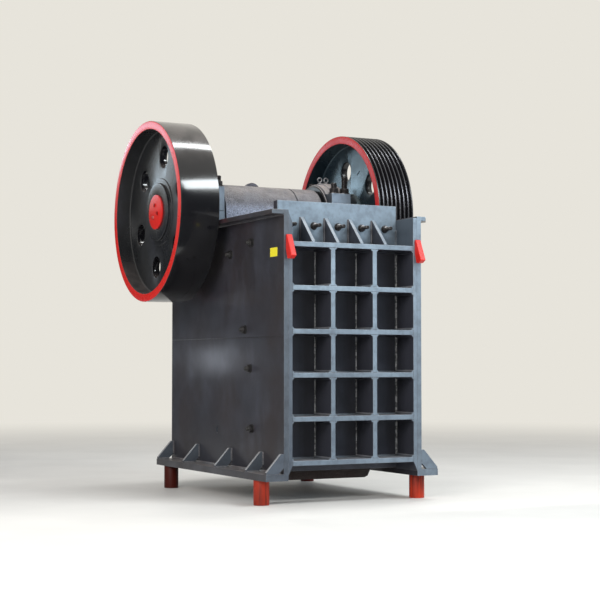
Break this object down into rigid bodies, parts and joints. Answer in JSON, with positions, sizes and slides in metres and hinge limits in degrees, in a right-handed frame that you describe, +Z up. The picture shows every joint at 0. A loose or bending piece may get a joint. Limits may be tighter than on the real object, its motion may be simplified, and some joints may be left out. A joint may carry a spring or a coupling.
{
  "type": "jaw crusher",
  "caption": "Single toggle jaw crusher: ribbed box frame on short round posts, with a flywheel and a grooved sheave on an eccentric shaft that drives a swing jaw.",
  "frame": {"origin": "on the floor, under the middle of the box around the whole machine", "axes": "+X along the shaft from the flywheel to the grooved sheave, +Y from the ribbed front wall to the back, +Z up"},
  "size_m": [2.308, 2.649, 3.311],
  "materials": {
    "frame_paint": "gloss",
    "bolt_steel": "satin",
    "red_paint": "gloss",
    "post_red": "satin",
    "yellow_label": "gloss",
    "bare_steel": "satin",
    "spring_black": "satin",
    "liner_steel": "matte",
    "wheel_black": "gloss",
    "cast_grey": "matte"
  },
  "bodies": {
    "frame": {"side_plate_left": "frame_paint", "side_plate_right": "frame_paint", "top_flanges": "frame_paint", "base_flanges": "frame_paint", "base_gussets": "frame_paint", "front_wall": "frame_paint", "horizontal_ribs": "frame_paint", "vertical_ribs": "frame_paint", "front_uprights": "frame_paint", "slanted_gussets": "frame_paint", "rear_wall": "frame_paint", "rear_ribs": "frame_paint", "rear_uprights": "frame_paint", "toggle_block": "frame_paint", "fixed_jaw_clamp": "frame_paint", "bearing_saddle_left": "frame_paint", "bearing_saddle_right": "frame_paint", "bearing_cap_left": "frame_paint", "bearing_cap_right": "frame_paint", "wall_bolts": "bolt_steel", "side_bolts": "bolt_steel", "cap_bolts": "bolt_steel", "lifting_hooks": "red_paint", "front_posts": "post_red", "rear_posts": "post_red", "yellow_plate": "yellow_label", "toggle_plate": "bare_steel", "toggle_shims": "bare_steel", "tension_rods": "bare_steel", "seal_rings": "bare_steel", "springs": "spring_black", "cheek_plates": "liner_steel", "fixed_jaw_plate": "liner_steel"},
    "rotor": {"eccentric_shaft": "bare_steel", "flywheel_rim": "wheel_black", "flywheel_web": "wheel_black", "flywheel_hub": "wheel_black", "sheave_rim": "wheel_black", "sheave_web": "wheel_black", "sheave_hub": "wheel_black", "hub_caps": "red_paint"},
    "jaw": {"swing_jaw": "cast_grey", "jaw_ribs": "cast_grey", "swing_jaw_plate": "liner_steel", "swing_jaw_clamp": "frame_paint"}
  },
  "joints": [
    {"name": "rotor_spin", "type": "hinge", "parent": "frame", "child": "rotor", "pos_m": [0, 0.5165, 2.503], "axis": [1, 0, 0], "continuous": true},
    {"name": "jaw_orbit", "type": "hinge", "parent": "rotor", "child": "jaw", "pos_m": [0, 0.5165, 2.488], "axis": [1, 0, 0], "continuous": true}
  ],
  "couplings": [
    {"joint": "jaw_orbit", "follows": "rotor_spin", "ratio": -1}
  ]
}
